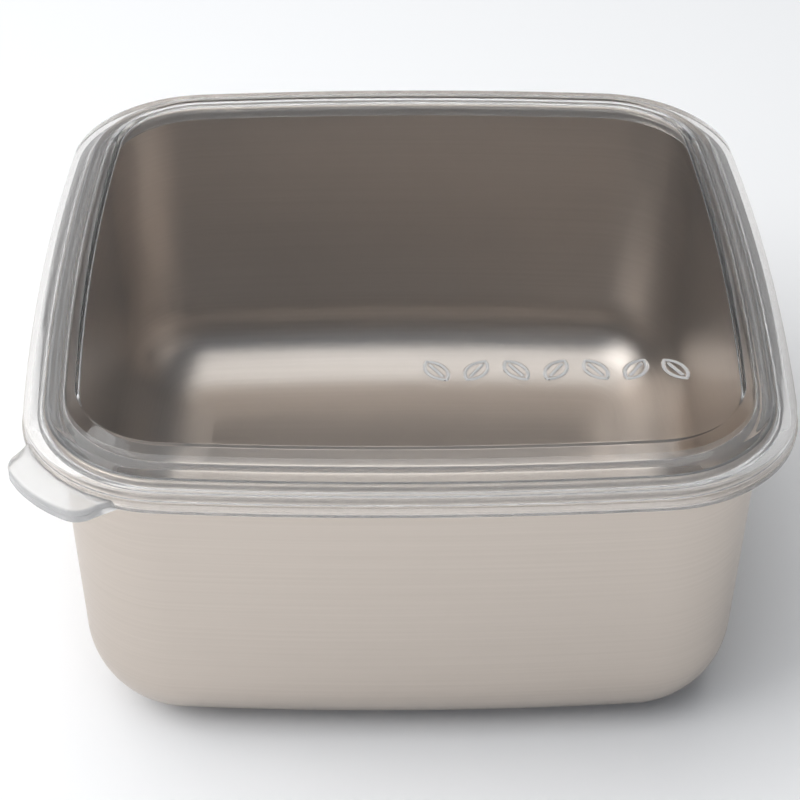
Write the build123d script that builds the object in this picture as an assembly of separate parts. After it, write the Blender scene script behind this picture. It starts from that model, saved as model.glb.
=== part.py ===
from build123d import *
import os
from math import atan2, degrees, sqrt

# Snap lid food container: a drawn steel tub with a rolled rim, and a clear silicone lid that snaps
# over the rim, with a finger tab at one corner. Millimetres, +Z up, origin at the middle of the base.
#
# Seen from above everything is one bowed square. Every wall, bead and rim is that outline moved
# inwards by an "inset", so a cross-section is drawn once, as (inset, height), and carried round it.

# ---- plan outline, at the outer edge of the lid ----
LID_HALF = 82.5            # middle of a side to the centre
SIDE_RADIUS = 720.0        # each side bows outwards on this radius
CORNER_RADIUS = 32.0       # each corner, tangent to both sides

# ---- steel tub ----
SHEET = 0.6                # sheet thickness
WALL_INSET_FOOT = 9.9      # outer face of the wall, carried down to the base plane
WALL_INSET_RIM = 7.0       # outer face of the wall where the curl starts
FOOT_RADIUS = 20.8         # outer radius between the wall and the base
CURL_HEIGHT = 76.0         # height of the curl's centre
CURL_RADIUS = 1.8          # outer radius of the curl
CURL_SWEEP = 305           # degrees of roll, ending just short of the wall

# ---- silicone lid, as heights above the base ----
SKIRT_BOTTOM = 73.9
SKIRT_EDGE = 1.6           # width of its lower edge, with the lead-in slope inside it
BEAD_TOP = 75.2            # top of the bead along the skirt's lower edge
SHOULDER = 78.6            # outer edge of the shoulder
PANEL_TOP = 83.0
PANEL_THICKNESS = 1.8
RIM_GAP = 0.3              # clearance between the lid and the steel curl
RIB_BOTTOM = 75.0          # lower edge of the seal rib inside the tub
PANEL_JOIN_INSET = 16.0    # where the moulded rim section passes into the flat panel

# ---- finger tab, on the diagonal of the -X -Y corner ----
TAB_THICKNESS = 3.2
TAB_BOTTOM = 72.5
TAB_REACH = 107.3          # tip of the tab, from the centre along the diagonal
TAB_CORNER_REACH = 105.0   # reach of the tab's two corners before they are rounded
TAB_HALF_TIP = 11.7
TAB_HALF_ROOT = 13.1
TAB_ROOT_REACH = 95.0      # start of the tab's outline, inside the skirt
TAB_CORNER = 5.0
TAB_HINGE_REACH = 103.6    # the living hinge line, at mid thickness
TAB_ROOT_GAP = 0.3         # between the fixed root and the rounded end of the moving tab
TAB_ROOT_INSET = 2.6       # how far under the skirt the fixed root of the tab starts

# ---- raised decoration on the panel: a row of outlined leaves ----
LEAF_COUNT = 7
LEAF_FIRST = (5.4, -45.2)  # middle of the first leaf
LEAF_PITCH = 8.3
LEAF_LENGTH = 7.6
LEAF_WIDTH = 4.0
LEAF_LINE = 0.55           # width of the raised line
LEAF_VEIN = 0.6            # length of the middle vein, as a share of the leaf
LEAF_TILT = 58             # degrees from the X axis, alternating either way
LEAF_HEIGHT = 0.3

# ---- worked out from the above ----
side_centre = SIDE_RADIUS - LID_HALF
corner_reach = SIDE_RADIUS - CORNER_RADIUS
corner_centre = (sqrt(2 * corner_reach**2 - side_centre**2) - side_centre) / 2
half_angle = degrees(atan2(corner_centre, corner_centre + side_centre))
rim_inset = WALL_INSET_RIM + SHEET / 2
curl_line = CURL_RADIUS - SHEET / 2
curl_inset = rim_inset - curl_line
tab_middle = TAB_BOTTOM + TAB_THICKNESS / 2
diagonal = Plane(origin=(0, 0, TAB_BOTTOM), x_dir=(-1, -1, 0), z_dir=(0, 0, 1))


def outline(inset):
    """The bowed square, moved inwards, as a face at height zero."""
    side = CenterArc((-side_centre, 0), SIDE_RADIUS - inset, -half_angle, 2 * half_angle)
    corner = CenterArc((corner_centre, corner_centre), CORNER_RADIUS - inset,
                       half_angle, 90 - 2 * half_angle)
    edges = []
    for quarter in range(4):
        edges += [Rot(0, 0, 90 * quarter) * side, Rot(0, 0, 90 * quarter) * corner]
    return make_face(edges)


def ring(section):
    """Carry a cross-section, drawn at x = -inset and y = height, round the bowed square."""
    upright = Plane.XZ * section
    side = revolve(Pos(SIDE_RADIUS, 0, 0) * upright, Axis.Z, 2 * half_angle)
    side = Pos(-side_centre, 0, 0) * Rot(0, 0, -half_angle) * side
    corner = revolve(Pos(CORNER_RADIUS, 0, 0) * upright, Axis.Z, 90 - 2 * half_angle)
    corner = Pos(corner_centre, corner_centre, 0) * Rot(0, 0, half_angle) * corner
    pieces = []
    for quarter in range(4):
        pieces += [Rot(0, 0, 90 * quarter) * side, Rot(0, 0, 90 * quarter) * corner]
    return pieces[0].fuse(*pieces[1:])


def plate(inset, bottom, thickness):
    """A flat plate inside the bowed square."""
    return Pos(0, 0, bottom) * extrude(outline(inset), thickness)


def make_container():
    """The tub: base, wall and outward curl in one sheet."""
    foot_inset = WALL_INSET_FOOT + SHEET / 2
    base_join = foot_inset + FOOT_RADIUS + 1
    base = Line((-base_join, SHEET / 2), (-foot_inset, SHEET / 2))
    wall = Line((-foot_inset, SHEET / 2), (-rim_inset, CURL_HEIGHT))
    foot_corner = (base + wall).vertices().sort_by(Axis.X)[1]
    path = fillet(foot_corner, FOOT_RADIUS - SHEET / 2)
    curl = CenterArc((-curl_inset, CURL_HEIGHT), curl_line, 180, -CURL_SWEEP)
    section = trace(path + curl, SHEET)
    return ring(section).fuse(plate(base_join, 0, SHEET))


def rim_section():
    """Cross-section of the lid's rim: skirt, shoulder, crown over the curl, riser and seal rib."""
    panel_bottom = PANEL_TOP - PANEL_THICKNESS
    outside = FilletPolyline(
        (-SKIRT_EDGE, SKIRT_BOTTOM),
        (0, SKIRT_BOTTOM),
        (0, BEAD_TOP),
        (-0.35, BEAD_TOP + 0.25),
        (-0.5, SHOULDER),
        (-4.8, SHOULDER + 0.2),
        (-5.9, SHOULDER + 2.0),
        (-8.5, SHOULDER + 2.5),
        (-11.5, PANEL_TOP),
        (-PANEL_JOIN_INSET, PANEL_TOP),
        radius=[0.4, 0.2, 0.2, 0.45, 0.5, 1.2, 0.6, 0.6],
    )
    join = Line((-PANEL_JOIN_INSET, PANEL_TOP), (-PANEL_JOIN_INSET, panel_bottom))
    seat = CURL_RADIUS + RIM_GAP
    seal_rib = FilletPolyline(
        (-PANEL_JOIN_INSET, panel_bottom),
        (-12.4, panel_bottom),
        (-9.4, panel_bottom - 2.1),
        (-9.1, RIB_BOTTOM),
        (-8.2, RIB_BOTTOM),
        (-curl_inset - seat, CURL_HEIGHT),
        radius=[0.6, 0.8, 0.4, 0.3],
    )
    curl_seat = CenterArc((-curl_inset, CURL_HEIGHT), seat, 180, -180)
    snap_bead = FilletPolyline(
        (-curl_inset + seat, CURL_HEIGHT),
        (-3.4, CURL_HEIGHT - 0.5),
        (-3.7, CURL_HEIGHT - 1.1),
        (-SKIRT_EDGE, SKIRT_BOTTOM),
        radius=[0.2, 0.25],
    )
    edges = ShapeList()
    for part in (outside, join, seal_rib, curl_seat, snap_bead):
        edges += part.edges()
    return make_face(edges)


def leaf_row():
    """A row of leaf outlines that stand a little proud of the panel."""
    upper = ThreePointArc((-LEAF_LENGTH / 2, 0), (0, LEAF_WIDTH / 2), (LEAF_LENGTH / 2, 0))
    blade = make_face([upper, mirror(upper, Plane.XZ)])
    line = blade - offset(blade, -LEAF_LINE)
    leaf = line + Rectangle(LEAF_VEIN * LEAF_LENGTH, LEAF_LINE)
    stem = extrude(leaf, LEAF_HEIGHT)
    leaves = []
    for index in range(LEAF_COUNT):
        tilt = LEAF_TILT if index % 2 else 180 - LEAF_TILT
        place = Pos(LEAF_FIRST[0] + index * LEAF_PITCH, LEAF_FIRST[1], PANEL_TOP)
        leaves.append(place * Rot(0, 0, tilt) * stem)
    return leaves


def tab_slab():
    """The whole tab, from inside the skirt to its tip, at rest."""
    front = ThreePointArc((TAB_CORNER_REACH, -TAB_HALF_TIP), (TAB_REACH, 0), (TAB_CORNER_REACH, TAB_HALF_TIP))
    sides = Polyline(
        (TAB_CORNER_REACH, TAB_HALF_TIP),
        (TAB_ROOT_REACH, TAB_HALF_ROOT),
        (TAB_ROOT_REACH, -TAB_HALF_ROOT),
        (TAB_CORNER_REACH, -TAB_HALF_TIP),
    )
    shape = make_face([*front.edges(), *sides.edges()])
    tips = shape.vertices().sort_by(Axis.X)[-2:]
    return diagonal * extrude(fillet(tips, TAB_CORNER), TAB_THICKNESS)


def beyond(reach):
    """Everything further out along the tab's diagonal than the given reach."""
    size = 40
    return diagonal * Pos(reach + size / 2, 0, 0) * Box(size, 2 * size, size)


def tab_root():
    """The fixed root of the tab, from under the skirt to just short of the hinge."""
    root_end = TAB_HINGE_REACH - TAB_THICKNESS / 2 - TAB_ROOT_GAP
    return tab_slab() - beyond(root_end) - plate(TAB_ROOT_INSET, TAB_BOTTOM, TAB_THICKNESS)


def make_pull_tab():
    """The moving part of the tab, with a round end about the hinge line."""
    slab = tab_slab()
    knuckle = diagonal * Pos(TAB_HINGE_REACH, 0, TAB_THICKNESS / 2) * Rot(90, 0, 0)
    knuckle = knuckle * Cylinder(TAB_THICKNESS / 2, 4 * TAB_HALF_ROOT)
    return (slab & beyond(TAB_HINGE_REACH)) + (slab & knuckle)


def make_lid():
    """The lid moulding: rim, panel, the tab's fixed root and the raised leaves."""
    panel = plate(PANEL_JOIN_INSET, PANEL_TOP - PANEL_THICKNESS, PANEL_THICKNESS)
    return ring(rim_section()).fuse(panel, tab_root(), *leaf_row())


os.makedirs("parts", exist_ok=True)
nodes = {"container": make_container(), "lid": make_lid(), "pull_tab": make_pull_tab()}
for name, shape in nodes.items():
    shape.label = name
    export_step(shape, f"parts/{name}.step")
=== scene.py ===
import math

import bmesh
import bpy
import numpy as np
from mathutils import Matrix, Vector, geometry, noise


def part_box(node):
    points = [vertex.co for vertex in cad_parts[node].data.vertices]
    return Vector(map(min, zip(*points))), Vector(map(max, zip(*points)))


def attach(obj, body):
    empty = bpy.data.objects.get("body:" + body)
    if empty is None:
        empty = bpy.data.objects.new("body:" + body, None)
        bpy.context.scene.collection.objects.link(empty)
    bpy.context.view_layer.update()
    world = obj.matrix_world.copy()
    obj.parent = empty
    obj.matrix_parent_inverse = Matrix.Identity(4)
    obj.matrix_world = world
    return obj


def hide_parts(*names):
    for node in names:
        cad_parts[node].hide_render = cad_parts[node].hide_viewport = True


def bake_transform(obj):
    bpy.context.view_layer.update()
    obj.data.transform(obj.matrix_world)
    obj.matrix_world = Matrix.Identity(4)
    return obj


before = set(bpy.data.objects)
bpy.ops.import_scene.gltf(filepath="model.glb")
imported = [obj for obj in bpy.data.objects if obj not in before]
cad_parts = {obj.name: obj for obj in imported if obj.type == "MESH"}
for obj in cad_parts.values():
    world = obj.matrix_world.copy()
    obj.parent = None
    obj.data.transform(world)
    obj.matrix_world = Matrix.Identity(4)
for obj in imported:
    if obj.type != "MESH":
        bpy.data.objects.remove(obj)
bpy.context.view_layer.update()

# A drawn steel tub with a rolled rim, under a clear silicone lid with a finger tab at one corner.
# Cross-sections are in millimetres, as (x, height): x is 0 at the lid's outer edge and negative
# further in. A section is carried round the bowed square that is the lid's outline from above.
MM = 0.001

# ---- plan outline, at the outer edge of the lid ----
LID_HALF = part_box("lid")[1].x / MM
SIDE_RADIUS = 720.0
CORNER_RADIUS = 32.0
SIDE_STEPS = 30            # mesh steps along a side
CORNER_STEPS = 26          # and round a corner

# ---- steel tub ----
SHEET = 0.6
WALL_FOOT = -9.9           # outer face of the wall, carried down to the base plane
WALL_RIM = -7.0            # outer face of the wall where the curl starts
FOOT_RADIUS = 20.8
CURL_RADIUS = 1.8
CURL_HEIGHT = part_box("container")[1].z / MM - CURL_RADIUS
CURL_SWEEP = 305

# ---- silicone lid, heights above the base ----
SKIRT_BOTTOM = 73.9
SKIRT_EDGE = 1.6           # width of its lower edge, with the lead-in slope inside it
BEAD_TOP = 75.2
SHOULDER = 78.6
PANEL_TOP = 83.0
PANEL_THICKNESS = 1.8
PANEL_JOIN = -16.0
RIM_INNER = -9.6           # the milky rim reaches in to here, and further in the lid is clear
PANEL_SAG = 0.35           # how far the soft panel dips at its middle
PANEL_RIPPLE = 0.1         # and how far it wavers about that
RIPPLE_LENGTH = 31.0
PANEL_MESH = 4.0           # pitch of the panel's mesh points
PANEL_MARGIN = 3.0         # and how far they keep from its edge
RIM_GAP = 0.3              # clearance between the lid and the steel curl
RIB_BOTTOM = 75.0

# ---- finger tab, as (reach, across) on the diagonal of the -X -Y corner ----
TAB_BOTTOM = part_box("pull_tab")[0].z / MM
TAB_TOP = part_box("pull_tab")[1].z / MM
TAB_REACH = 107.3
TAB_CORNER_REACH = 105.0
TAB_HALF_TIP = 11.7
TAB_HALF_ROOT = 13.1
TAB_ROOT_REACH = 95.0      # where the sides are at their root width, inside the skirt
TAB_CORNER = 5.0
TAB_LET_IN = 0.4           # how far the tab's root is let into the skirt
TAB_FLARE = (0.2, 1.6)     # how much the upper and the lower edge spread where they join the skirt
TAB_FLARE_LENGTH = 3.5
TAB_EDGE = 0.9             # width of the rounded edge, within the outline
TAB_BEND = (101.6, 105.6)  # a stretch along the diagonal where a real tab flexes; nothing here bends the mesh
TAB_BEND_MESH = ((101.4, 104.4, 6), (-9.0, 9.0, 13))  # mesh rows there: first, last, count
TAB_OUTER_POINTS = 90      # mesh points round the tab's free edge
TAB_ROOT_POINTS = 40       # and along its root

# ---- raised row of leaf outlines on the panel ----
LEAF_COUNT = 7
LEAF_FIRST = (5.4, -45.2)
LEAF_PITCH = 8.3
LEAF_LENGTH = 7.6
LEAF_WIDTH = 4.0
LEAF_LINE = 0.4            # half width of the raised line
LEAF_VEIN = 0.6            # length of the middle vein, as a share of the leaf
LEAF_TILT = math.radians(58)
LEAF_HEIGHT = 0.3
LEAF_BORDER = 1.0          # width of the finely meshed border round the row
RELIEF_STEP = 0.17         # mesh pitch where the panel carries the leaves

# ---- materials ----
STEEL_DARK = (0.552, 0.493, 0.440)
STEEL_LIGHT = (0.582, 0.521, 0.467)
STEEL_ROUGHNESS = (0.31, 0.40)
FINE_BRUSH = (45, 5200, 1)   # noise cells per metre, along and across the brushing
BROAD_BRUSH = (11, 1300, 1)
SILICONE_CLOUDS = 60         # noise cells per metre
SCATTER_LENGTH = 0.004       # how far light spreads inside milky silicone, in metres

# ---- studio ----
ROOM_AXIS = (0, 0.8, 0.6)    # the room's colour goes from front to back in this direction
ROOM_FRONT = (0.155, 0.215, 0.3)
ROOM_BACK = (0.37, 0.372, 0.376)
ROOM_LEFT = 1.3              # strength of the room's light at the left
ROOM_RIGHT = 0.36            # and at the right
ROOM_SPAN = 0.8              # both changes end this far out, as a share of the way to each side
FLOOR_HALF = 4.0             # metres

side_centre = SIDE_RADIUS - LID_HALF
corner_reach = SIDE_RADIUS - CORNER_RADIUS
corner_centre = (math.sqrt(2 * corner_reach**2 - side_centre**2) - side_centre) / 2
half_angle = math.atan2(corner_centre, corner_centre + side_centre)
rim_line = WALL_RIM - SHEET / 2
curl_line = CURL_RADIUS - SHEET / 2
curl_x = rim_line + curl_line


# ---------------------------------------------------------------- outline and sections
def plan_outline():
    """Points on the outer outline, and the direction straight outwards at each."""
    points, outwards = [], []
    for quarter in range(4):
        turn = quarter * math.pi / 2
        spin = np.array([[math.cos(turn), -math.sin(turn)], [math.sin(turn), math.cos(turn)]])
        corner_end = math.pi / 2 - half_angle
        arcs = (
            ((-side_centre, 0), SIDE_RADIUS, -half_angle, half_angle, SIDE_STEPS),
            ((corner_centre, corner_centre), CORNER_RADIUS, half_angle, corner_end, CORNER_STEPS),
        )
        for centre, radius, first, last, steps in arcs:
            for k in range(steps):
                angle = first + (last - first) * k / steps
                out = np.array([math.cos(angle), math.sin(angle)])
                points.append(spin @ (np.array(centre) + radius * out))
                outwards.append(spin @ out)
    return np.array(points), np.array(outwards)


def arc(centre, radius, first, sweep, step=8):
    """Points along an arc, angles in degrees."""
    count = max(2, int(abs(sweep) / step) + 1)
    angles = np.radians(np.linspace(first, first + sweep, count))
    return [(centre[0] + radius * math.cos(a), centre[1] + radius * math.sin(a)) for a in angles]


def rounded(points, radii, step=11):
    """A path through the points whose inner corners are rounded by the radii."""
    path = [tuple(points[0])]
    for before, corner, after, radius in zip(points, points[1:], points[2:], radii):
        p, c, q = (np.array(v, float) for v in (before, corner, after))
        into = (c - p) / np.linalg.norm(c - p)
        away = (q - c) / np.linalg.norm(q - c)
        turn = math.atan2(into[0] * away[1] - into[1] * away[0], into @ away)
        start = c - into * radius * math.tan(abs(turn) / 2)
        left = np.array([-into[1], into[0]]) * math.copysign(1, turn)
        first = math.degrees(math.atan2(*(-left)[::-1]))
        path += arc(start + left * radius, radius, first, math.degrees(turn), step)
    return path + [tuple(points[-1])]


def even(path, longest):
    """The same path, with long runs divided so that no step is longer than the given length."""
    dense = [path[0]]
    for a, b in zip(path, path[1:]):
        pieces = max(1, math.ceil(math.dist(a, b) / longest))
        step = (np.array(b) - np.array(a)) / pieces
        dense += [tuple(np.array(a) + step * k) for k in range(1, pieces + 1)]
    return dense


def offset(path, amount):
    """The path moved sideways, to the left of its direction for a positive amount."""
    p = np.array(path)
    along = np.gradient(p, axis=0)
    along /= np.linalg.norm(along, axis=1)[:, None]
    return p + amount * np.column_stack([-along[:, 1], along[:, 0]])


def tub_section():
    """The tub's sheet as one path: from under the base up outside, round the curl and back inside."""
    foot = WALL_FOOT - SHEET / 2
    base_join = foot - FOOT_RADIUS - 1
    line = rounded(
        [(base_join, SHEET / 2), (foot, SHEET / 2), (rim_line, CURL_HEIGHT)],
        [FOOT_RADIUS - SHEET / 2],
        step=5,
    )
    line = even(line, 2.5)[:-1] + arc((curl_x, CURL_HEIGHT), curl_line, 180, -CURL_SWEEP, step=10)
    outside = offset(line, -SHEET / 2)
    inside = offset(line, SHEET / 2)
    return np.vstack([outside, inside[::-1]])


def lid_section():
    """The lid's rim: from the panel's top over the crown, down the skirt, and back in over the curl."""
    panel_bottom = PANEL_TOP - PANEL_THICKNESS
    seat = CURL_RADIUS + RIM_GAP
    outside = rounded(
        [
            (PANEL_JOIN, PANEL_TOP),
            (-11.5, PANEL_TOP),
            (-8.5, SHOULDER + 2.5),
            (-5.9, SHOULDER + 2.0),
            (-4.8, SHOULDER + 0.2),
            (-0.5, SHOULDER),
            (-0.35, BEAD_TOP + 0.25),
            (0, BEAD_TOP),
            (0, SKIRT_BOTTOM),
            (-SKIRT_EDGE, SKIRT_BOTTOM),
            (-3.7, CURL_HEIGHT - 1.1),
            (-3.4, CURL_HEIGHT - 0.5),
            (curl_x + seat, CURL_HEIGHT),
        ],
        [0.6, 0.6, 1.2, 0.5, 0.45, 0.2, 0.2, 0.4, 0.3, 0.25, 0.2],
    )
    over_curl = arc((curl_x, CURL_HEIGHT), seat, 0, 180, step=9)
    inside = rounded(
        [
            (curl_x - seat, CURL_HEIGHT),
            (-8.2, RIB_BOTTOM),
            (-9.1, RIB_BOTTOM),
            (-9.4, panel_bottom - 2.1),
            (-12.4, panel_bottom),
            (PANEL_JOIN, panel_bottom),
        ],
        [0.3, 0.4, 0.8, 0.6],
    )
    return np.array(even(outside[:-1] + over_curl + inside[1:], 0.9))


# ---------------------------------------------------------------- meshes
class Shell:
    """Vertices, faces, brush coordinates and material numbers, gathered before the mesh is made."""

    def __init__(self):
        self.points = []
        self.faces = []
        self.uvs = []
        self.slots = []

    def add(self, points):
        first = len(self.points)
        self.points += [tuple(float(v) for v in p) for p in points]
        return first

    def face(self, corners, uvs, slot=0):
        self.faces.append(tuple(corners))
        self.uvs.append(uvs)
        self.slots.append(slot)

    def sweep(self, section, slot_of=lambda a, b: 0):
        """Carry an open section round the outline. Returns the first vertex of each ring."""
        outline, outwards = plan_outline()
        count = len(outline)
        run = np.concatenate([[0], np.cumsum(np.linalg.norm(np.diff(section, axis=0), axis=1))])
        round_it = np.linalg.norm(np.roll(outline, -1, axis=0) - outline, axis=1)
        lap = np.concatenate([[0], np.cumsum(round_it)])
        rings = []
        for x, height in section:
            plan = outline + x * outwards
            rings.append(self.add(np.column_stack([plan, np.full(count, height)])))
        for k in range(len(section) - 1):
            slot = slot_of(section[k], section[k + 1])
            for i in range(count):
                j = (i + 1) % count
                corners = (rings[k] + i, rings[k] + j, rings[k + 1] + j, rings[k + 1] + i)
                left, right, low, high = lap[i], lap[i + 1], run[k], run[k + 1]
                self.face(corners, [(left, low), (right, low), (right, high), (left, high)], slot)
        return rings

    def flat_cap(self, ring, count, rows=10):
        """Close a ring with smaller copies of itself down to a middle point."""
        edge = np.array(self.points[ring:ring + count])
        middle = np.array([0, 0, edge[0][2]])
        rings = [ring]
        for row in range(1, rows):
            rings.append(self.add(middle + (edge - middle) * (1 - row / rows)))
        centre = self.add([middle])
        for outer, inner in zip(rings, rings[1:]):
            for i in range(count):
                j = (i + 1) % count
                corners = (outer + i, outer + j, inner + j, inner + i)
                self.face(corners, [self.points[c][:2] for c in corners])
        for i in range(count):
            corners = (rings[-1] + i, rings[-1] + (i + 1) % count, centre)
            self.face(corners, [self.points[c][:2] for c in corners])

    def fill(self, ring, outline, inner, place, loop=0, hole=lambda x, y: False):
        """Fill a flat outline, whose vertices start at the ring, with triangles through the inner points.

        A new vertex goes where place(x, y) says. The first `loop` inner points are a closed run of edges,
        and a triangle with its middle in the hole is left out. Returns the vertex of each given point.
        """
        count = len(outline)
        points = [Vector(p) for p in (*outline, *inner)]
        edges = [(i, (i + 1) % count) for i in range(count)]
        edges += [(count + k, count + (k + 1) % loop) for k in range(loop)]
        flat, _, triangles, sources, _, _ = geometry.delaunay_2d_cdt(points, edges, [], 1, 1e-5)
        number = []
        vertex_of = {}
        for spot, given in zip(flat, sources):
            on_edge = [k for k in given if k < count]
            number.append(ring + on_edge[0] if on_edge else self.add([place(*spot)]))
            vertex_of.update((k, number[-1]) for k in given)
        for triangle in triangles:
            x, y = (sum(flat[k][axis] for k in triangle) / 3 for axis in (0, 1))
            if not hole(x, y):
                self.face([number[k] for k in triangle], [tuple(flat[k]) for k in triangle])
        return vertex_of

    def make(self, name, materials, sharp_angle=35):
        mesh = bpy.data.meshes.new(name)
        mesh.from_pydata([tuple(MM * v for v in p) for p in self.points], [], self.faces)
        layer = mesh.uv_layers.new(name="brush")
        flat = [MM * v for uv in self.uvs for pair in uv for v in pair]
        layer.data.foreach_set("uv", flat)
        mesh.polygons.foreach_set("material_index", self.slots)
        for finish in materials:
            mesh.materials.append(finish)
        work = bmesh.new()
        work.from_mesh(mesh)
        bmesh.ops.recalc_face_normals(work, faces=work.faces)
        work.to_mesh(mesh)
        work.free()
        mesh.polygons.foreach_set("use_smooth", [True] * len(mesh.polygons))
        mesh.set_sharp_from_angle(angle=math.radians(sharp_angle))
        piece = bpy.data.objects.new(name, mesh)
        bpy.context.scene.collection.objects.link(piece)
        return piece


# ---------------------------------------------------------------- the panel and its raised leaves
def leaf_relief(x, y):
    """Height of the raised leaf outlines above the panel at a point."""
    index = round((x - LEAF_FIRST[0]) / LEAF_PITCH)
    if not 0 <= index < LEAF_COUNT:
        return 0.0
    tilt = LEAF_TILT if index % 2 else math.pi - LEAF_TILT
    dx, dy = x - LEAF_FIRST[0] - index * LEAF_PITCH, y - LEAF_FIRST[1]
    along = dx * math.cos(tilt) + dy * math.sin(tilt)
    across = -dx * math.sin(tilt) + dy * math.cos(tilt)
    half, belly = LEAF_LENGTH / 2, LEAF_WIDTH / 2
    radius = (half**2 + belly**2) / (2 * belly)
    if abs(along) < half:
        edge = abs(math.hypot(along, abs(across) + radius - belly) - radius)
    else:
        edge = math.hypot(abs(along) - half, across)
    vein = math.hypot(max(0.0, abs(along) - LEAF_VEIN * half), across)
    near = min(edge, vein) / LEAF_LINE
    return LEAF_HEIGHT * (0.5 + 0.5 * math.cos(math.pi * near)) if near < 1 else 0.0


def panel_dip(x, y):
    """The soft panel hangs a little at its middle and is not perfectly flat."""
    reach = LID_HALF + PANEL_JOIN
    fall = max(0.0, 1 - (x / reach) ** 2) * max(0.0, 1 - (y / reach) ** 2)
    ripple = noise.noise(Vector((x / RIPPLE_LENGTH, y / RIPPLE_LENGTH, 0.7)))
    return fall * (-PANEL_SAG + PANEL_RIPPLE * ripple)


class LeafGrid:
    """The fine square grid that carries the leaves, over a rectangle of the panel."""

    def __init__(self):
        border = LEAF_LENGTH / 2 + LEAF_BORDER
        self.low = (LEAF_FIRST[0] - border, LEAF_FIRST[1] - border)
        self.columns = round(((LEAF_COUNT - 1) * LEAF_PITCH + 2 * border) / RELIEF_STEP)
        self.rows = round(2 * border / RELIEF_STEP)
        self.high = self.place(self.columns, self.rows)

    def place(self, i, j):
        return (self.low[0] + i * RELIEF_STEP, self.low[1] + j * RELIEF_STEP)

    def covers(self, x, y, margin=0):
        across = self.low[0] - margin < x < self.high[0] + margin
        return across and self.low[1] - margin < y < self.high[1] + margin

    def rim(self):
        """The grid's outermost points in order, as (column, row)."""
        spots = [(i, 0) for i in range(self.columns)]
        spots += [(self.columns, j) for j in range(self.rows)]
        spots += [(i, self.rows) for i in range(self.columns, 0, -1)]
        return spots + [(0, j) for j in range(self.rows, 0, -1)]

    def add_to(self, shell, height, vertex_of):
        """Add the grid to the shell, joined to the rim's vertices. The leaves' lines get slot 2."""
        for i in range(self.columns + 1):
            for j in range(self.rows + 1):
                if (i, j) not in vertex_of:
                    x, y = self.place(i, j)
                    lift = panel_dip(x, y) + leaf_relief(x, y)
                    vertex_of[i, j] = shell.add([(x, y, height + lift)])
        for i in range(self.columns):
            for j in range(self.rows):
                corners = [vertex_of[spot] for spot in ((i, j), (i + 1, j), (i + 1, j + 1), (i, j + 1))]
                slot = 2 if leaf_relief(*self.place(i + 0.5, j + 0.5)) else 0
                shell.face(corners, [shell.points[c][:2] for c in corners], slot)


def panel_points():
    """Evenly spaced points over the panel, clear of its edge."""
    reach = LID_HALF + PANEL_JOIN - PANEL_MARGIN
    inner_corner = CORNER_RADIUS + PANEL_JOIN - PANEL_MARGIN
    points = []
    for x in np.arange(-reach, reach, PANEL_MESH):
        for y in np.arange(-reach, reach, PANEL_MESH):
            beyond = (abs(x) - corner_centre, abs(y) - corner_centre)
            if min(beyond) <= 0 or math.hypot(*beyond) <= inner_corner:
                points.append((x, y))
    return points


def panel_cap(shell, ring, count, height, leaves=None):
    """Close the panel with a triangulated sheet that dips a little, and carries the leaves if given."""
    def place(x, y):
        return (x, y, height + panel_dip(x, y))

    outline = [shell.points[ring + i][:2] for i in range(count)]
    if leaves is None:
        shell.fill(ring, outline, panel_points(), place)
        return
    rim = leaves.rim()
    inner = [leaves.place(*spot) for spot in rim]
    inner += [p for p in panel_points() if not leaves.covers(*p, margin=1)]
    vertex_of = shell.fill(ring, outline, inner, place, len(rim), leaves.covers)
    leaves.add_to(shell, height, {spot: vertex_of[count + k] for k, spot in enumerate(rim)})


# ---------------------------------------------------------------- materials
def material(name, **settings):
    """A new material and its main shader, with plain values set on the shader's own sockets."""
    made = bpy.data.materials.new(name)
    made.use_nodes = True
    shader = made.node_tree.nodes["Principled BSDF"]
    for socket, value in settings.items():
        shader.inputs[socket.replace("_", " ")].default_value = value
    return made, shader


def streaks(tree, stretch, detail):
    """Noise drawn out along the brushing, from the mesh's brush coordinates."""
    place = tree.nodes.new("ShaderNodeUVMap")
    place.uv_map = "brush"
    mapping = tree.nodes.new("ShaderNodeMapping")
    mapping.inputs["Scale"].default_value = stretch
    pattern = tree.nodes.new("ShaderNodeTexNoise")
    pattern.inputs["Scale"].default_value = 1.0
    pattern.inputs["Detail"].default_value = detail
    tree.links.new(place.outputs["UV"], mapping.inputs["Vector"])
    tree.links.new(mapping.outputs["Vector"], pattern.inputs["Vector"])
    return pattern.outputs["Fac"]


def spread(tree, value, low, high):
    """Map a noise pattern, most of which lies from 0.3 to 0.7, to a range."""
    node = tree.nodes.new("ShaderNodeMapRange")
    node.inputs["From Min"].default_value = 0.3
    node.inputs["From Max"].default_value = 0.7
    node.inputs["To Min"].default_value = low
    node.inputs["To Max"].default_value = high
    tree.links.new(value, node.inputs["Value"])
    return node.outputs["Result"]


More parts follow.
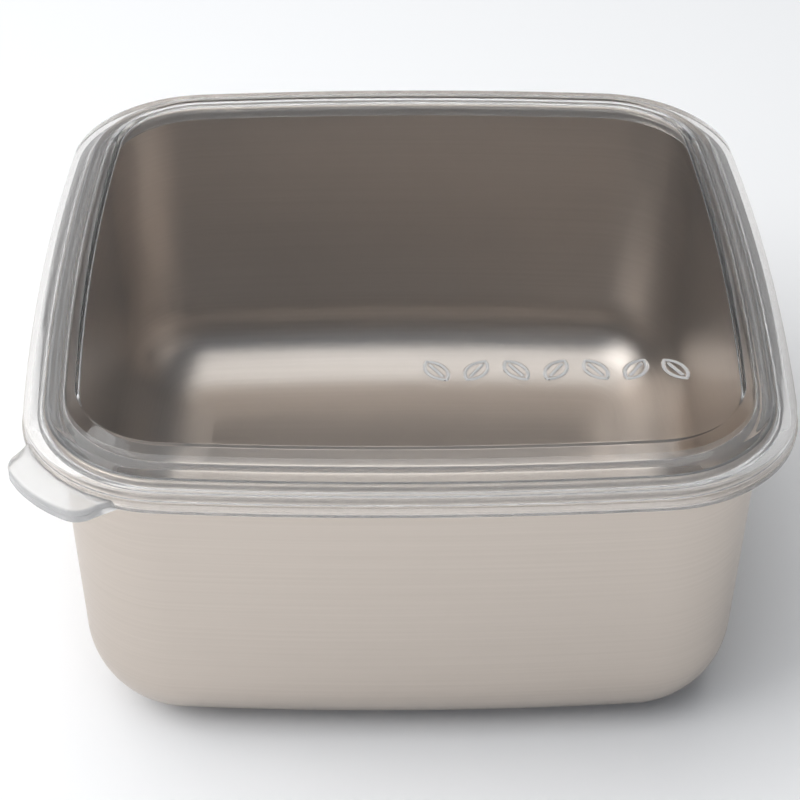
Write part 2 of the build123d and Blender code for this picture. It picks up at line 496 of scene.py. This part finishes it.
def brushed_steel():
    """Satin steel: broad streaks vary its tint, and fine ones its roughness and height."""
    made, shader = material("brushed_steel", Metallic=1.0, Anisotropic=0.5)
    tree = made.node_tree
    fine = streaks(tree, FINE_BRUSH, 2)
    broad = streaks(tree, BROAD_BRUSH, 3)
    tint = tree.nodes.new("ShaderNodeMix")
    tint.data_type = "RGBA"
    tint.inputs["A"].default_value = (*STEEL_DARK, 1)
    tint.inputs["B"].default_value = (*STEEL_LIGHT, 1)
    tree.links.new(spread(tree, broad, 0, 1), tint.inputs["Factor"])
    tree.links.new(tint.outputs["Result"], shader.inputs["Base Color"])
    tree.links.new(spread(tree, fine, *STEEL_ROUGHNESS), shader.inputs["Roughness"])
    bump = tree.nodes.new("ShaderNodeBump")
    bump.inputs["Strength"].default_value = 0.1
    bump.inputs["Distance"].default_value = 0.0002
    tree.links.new(fine, bump.inputs["Height"])
    tree.links.new(bump.outputs["Normal"], shader.inputs["Normal"])
    tangent = tree.nodes.new("ShaderNodeTangent")
    tangent.direction_type = "UV_MAP"
    tangent.uv_map = "brush"
    tree.links.new(tangent.outputs["Tangent"], shader.inputs["Tangent"])
    return made


def silicone(name, colour, clear, rough, cloud):
    """Clear or milky silicone: the less clear, the more light it scatters inside."""
    made, shader = material(name, IOR=1.41, Transmission_Weight=clear)
    tree = made.node_tree
    if clear < 1:
        shader.inputs["Subsurface Weight"].default_value = 1.0
        shader.inputs["Subsurface Radius"].default_value = (1.0, 1.0, 1.0)
        shader.inputs["Subsurface Scale"].default_value = SCATTER_LENGTH
    place = tree.nodes.new("ShaderNodeTexCoord")
    pattern = tree.nodes.new("ShaderNodeTexNoise")
    pattern.inputs["Scale"].default_value = SILICONE_CLOUDS
    pattern.inputs["Detail"].default_value = 3
    tree.links.new(place.outputs["Object"], pattern.inputs["Vector"])
    tint = tree.nodes.new("ShaderNodeMix")
    tint.data_type = "RGBA"
    tint.inputs["A"].default_value = (*(v * (1 - cloud) for v in colour), 1)
    tint.inputs["B"].default_value = (*colour, 1)
    tree.links.new(spread(tree, pattern.outputs["Fac"], 0, 1), tint.inputs["Factor"])
    tree.links.new(tint.outputs["Result"], shader.inputs["Base Color"])
    varied = spread(tree, pattern.outputs["Fac"], rough * 0.8, rough * 1.2)
    tree.links.new(varied, shader.inputs["Roughness"])
    return made


# ---------------------------------------------------------------- pieces
def make_tub():
    shell = Shell()
    rings = shell.sweep(tub_section())
    count = len(plan_outline()[0])
    shell.flat_cap(rings[0], count)
    shell.flat_cap(rings[-1], count)
    tub = shell.make("steel_tub", [brushed_steel()])
    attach(tub, "container")
    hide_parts("container")
    return tub


def make_lid(clear, milky, frosted):
    shell = Shell()
    count = len(plan_outline()[0])
    rings = shell.sweep(lid_section(), lambda a, b: int(min(a[0], b[0]) > RIM_INNER))
    panel_cap(shell, rings[0], count, PANEL_TOP, LeafGrid())
    panel_cap(shell, rings[-1], count, PANEL_TOP - PANEL_THICKNESS)
    lid = shell.make("silicone_lid", [clear, milky, frosted])
    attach(lid, "lid")
    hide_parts("lid")
    return lid


def on_diagonal(reach, across, height):
    """A point given along and across the tab's diagonal, in the row frame."""
    root = math.sqrt(0.5)
    return ((-reach + across) * root, (-reach - across) * root, height)


def divide(path, count):
    """The path as the given number of points, evenly spaced along it."""
    p = np.array(path)
    run = np.concatenate([[0], np.cumsum(np.linalg.norm(np.diff(p, axis=0), axis=1))])
    at = np.linspace(0, run[-1], count)
    return np.column_stack([np.interp(at, run, p[:, 0]), np.interp(at, run, p[:, 1])])


def tab_outline(inset, flare):
    """The tab from above, moved inwards by the inset and spread by the flare at its root.

    A closed path of (reach, across) points. The root's arc stays just inside the skirt.
    """
    sag = TAB_REACH - TAB_CORNER_REACH
    tip_radius = (TAB_HALF_TIP**2 + sag**2) / (2 * sag)
    tip_centre = np.array([TAB_REACH - tip_radius, 0])
    root = np.array([TAB_ROOT_REACH, TAB_HALF_ROOT])
    tip = np.array([TAB_CORNER_REACH, TAB_HALF_TIP])
    side = (tip - root) / np.linalg.norm(tip - root)
    inward = np.array([side[1], -side[0]])
    # the corner's arc is tangent to the side and, from inside, to the arc of the tip
    start = tip + inward * TAB_CORNER - tip_centre
    inner = tip_radius - TAB_CORNER
    slide = -start @ side + math.sqrt((start @ side) ** 2 - start @ start + inner**2)
    centre = tip_centre + start + side * slide
    turned = math.degrees(math.atan2(-inward[1], -inward[0]))
    swing = math.degrees(math.atan2(centre[1], centre[0] - tip_centre[0]))
    corner = arc(centre, TAB_CORNER - inset, turned, swing - turned, step=4)
    middle = corner_centre * math.sqrt(2)
    let_in = CORNER_RADIUS - TAB_LET_IN
    half_width = TAB_HALF_ROOT + flare - inset
    spread_to = math.asin(half_width / let_in)
    root_end = (middle + let_in * math.cos(spread_to), half_width)
    bend = root + inward * inset + side * (root_end[0] + TAB_FLARE_LENGTH - TAB_ROOT_REACH)
    half = rounded([root_end, bend, corner[0]], [TAB_FLARE_LENGTH])[:-1] + corner
    half += arc(tip_centre, tip_radius - inset, swing, -swing, step=2)[1:]
    outer = [(reach, -across) for reach, across in half] + half[-2::-1]
    root_arc = arc((middle, 0), let_in, math.degrees(spread_to), -2 * math.degrees(spread_to), step=1)
    return np.vstack([divide(outer, TAB_OUTER_POINTS)[:-1], divide(root_arc, TAB_ROOT_POINTS)[:-1]])


def make_tab(milky):
    """The finger tab: flat faces with rounded edges and a parting line round its edge."""
    section = rounded(
        [
            (TAB_EDGE, TAB_TOP), (0, TAB_TOP), (0.02, TAB_TOP - 1.25), (0.12, TAB_TOP - 1.35),
            (0, TAB_TOP - 1.45), (0, TAB_BOTTOM), (TAB_EDGE, TAB_BOTTOM),
        ],
        [0.5, 0.03, 0.03, 0.03, 0.6],
        step=15,
    )
    shell = Shell()
    rings = []
    plans = []
    for inset, height in section:
        depth = TAB_TOP - height
        plan = tab_outline(inset, float(np.interp(depth, (0, TAB_TOP - TAB_BOTTOM), TAB_FLARE)))
        # the lower edge rises to the skirt's lower edge at both ends of the root
        rise = np.interp(np.abs(plan[:, 1]), (TAB_HALF_ROOT - 1, TAB_HALF_ROOT + TAB_FLARE[1]), (0, 1))
        scale = 1 - rise * (SKIRT_BOTTOM - TAB_BOTTOM) / (TAB_TOP - TAB_BOTTOM)
        plans.append(plan)
        rings.append(shell.add([on_diagonal(*p, TAB_TOP - depth * k) for p, k in zip(plan, scale)]))
    count = len(plans[0])
    for lower, upper in zip(rings, rings[1:]):
        for i in range(count):
            j = (i + 1) % count
            shell.face((lower + i, lower + j, upper + j, upper + i), [(0, 0)] * 4)
    along, across = (np.linspace(*rows) for rows in TAB_BEND_MESH)
    inner = [(a, b) for a in along for b in across]
    for ring, plan, height in ((rings[0], plans[0], TAB_TOP), (rings[-1], plans[-1], TAB_BOTTOM)):
        shell.fill(ring, plan, inner, lambda a, b: on_diagonal(a, b, height))
    tab = shell.make("silicone_tab", [milky])
    [MM * v for v in on_diagonal(TAB_BEND[0], 0, TAB_TOP)]
    [MM * v for v in on_diagonal(TAB_BEND[1], 0, TAB_TOP)]
    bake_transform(tab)
    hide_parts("pull_tab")
    return tab


# ---------------------------------------------------------------- stage, light and camera
def make_floor():
    mesh = bpy.data.meshes.new("floor")
    corners = [(x * FLOOR_HALF, y * FLOOR_HALF, 0) for x, y in ((-1, -1), (1, -1), (1, 1), (-1, 1))]
    mesh.from_pydata(corners, [], [(0, 1, 2, 3)])
    made, shader = material("floor_white", Roughness=0.9)
    shader.inputs["Base Color"].default_value = (0.93, 0.93, 0.93, 1)
    mesh.materials.append(made)
    floor = bpy.data.objects.new("floor", mesh)
    bpy.context.scene.collection.objects.link(floor)


def softbox(name, place, aim, size, power):
    """A rectangular light, turned towards a point. Metres and watts."""
    light = bpy.data.lights.new(name, "AREA")
    light.shape = "RECTANGLE"
    light.size, light.size_y = size
    light.energy = power
    lamp = bpy.data.objects.new(name, light)
    lamp.location = place
    lamp.rotation_euler = (Vector(aim) - Vector(place)).to_track_quat("-Z", "Y").to_euler()
    bpy.context.scene.collection.objects.link(lamp)


def make_light():
    """A pale room, brighter behind and to the left, and softboxes at the left and overhead."""
    world = bpy.data.worlds.new("studio")
    bpy.context.scene.world = world
    world.use_nodes = True
    tree = world.node_tree
    place = tree.nodes.new("ShaderNodeTexCoord")
    levels = []
    for axis, low, high in ((ROOM_AXIS, 0, 1), ((1, 0, 0), ROOM_LEFT, ROOM_RIGHT)):
        along = tree.nodes.new("ShaderNodeVectorMath")
        along.operation = "DOT_PRODUCT"
        along.inputs[1].default_value = axis
        level = tree.nodes.new("ShaderNodeMapRange")
        level.inputs["From Min"].default_value = -ROOM_SPAN
        level.inputs["From Max"].default_value = ROOM_SPAN
        level.inputs["To Min"].default_value = low
        level.inputs["To Max"].default_value = high
        tree.links.new(place.outputs["Generated"], along.inputs[0])
        tree.links.new(along.outputs["Value"], level.inputs["Value"])
        levels.append(level.outputs["Result"])
    colour = tree.nodes.new("ShaderNodeMix")
    colour.data_type = "RGBA"
    colour.inputs["A"].default_value = (*ROOM_FRONT, 1)
    colour.inputs["B"].default_value = (*ROOM_BACK, 1)
    background = tree.nodes["Background"]
    tree.links.new(levels[0], colour.inputs["Factor"])
    tree.links.new(colour.outputs["Result"], background.inputs["Color"])
    tree.links.new(levels[1], background.inputs["Strength"])
    softbox("key", (-0.85, -0.25, 0.65), (0, 0, 0.03), (0.9, 0.8), 5.9)
    softbox("overhead", (-0.3, -0.05, 1.05), (-0.3, -0.05, 0), (1.4, 1.7), 11.6)


def make_camera():
    """Half a metre from the tub, in front of it and looking down at it."""
    distance = 0.523
    elevation, azimuth, roll = (math.radians(v) for v in (36.89, -0.98, -0.29))
    aim = Vector((-0.0014, 0, 0.0413))
    back = Vector((
        math.sin(azimuth) * math.cos(elevation),
        -math.cos(azimuth) * math.cos(elevation),
        math.sin(elevation),
    ))
    data = bpy.data.cameras.new("camera")
    data.sensor_width = 36
    data.lens = 99.9
    data.clip_start = 0.01
    camera = bpy.data.objects.new("camera", data)
    camera.matrix_world = (
        Matrix.Translation(aim + back * distance)
        @ (-back).to_track_quat("-Z", "Y").to_matrix().to_4x4()
        @ Matrix.Rotation(-roll, 4, "Z")
    )
    bpy.context.scene.collection.objects.link(camera)
    bpy.context.scene.camera = camera


make_camera()
make_floor()
make_light()
make_tub()
make_lid(
    silicone("silicone_clear", (0.96, 0.97, 0.98), clear=1.0, rough=0.01, cloud=0.01),
    silicone("silicone_rim", (0.975, 0.96, 0.94), clear=0.90, rough=0.02, cloud=0.02),
    silicone("silicone_mark", (0.98, 0.98, 0.98), clear=0.50, rough=0.1, cloud=0.02),
)
make_tab(silicone("silicone_tab", (0.96, 0.945, 0.925), clear=0.70, rough=0.05, cloud=0.02))
bpy.context.scene.view_settings.view_transform = "Standard"
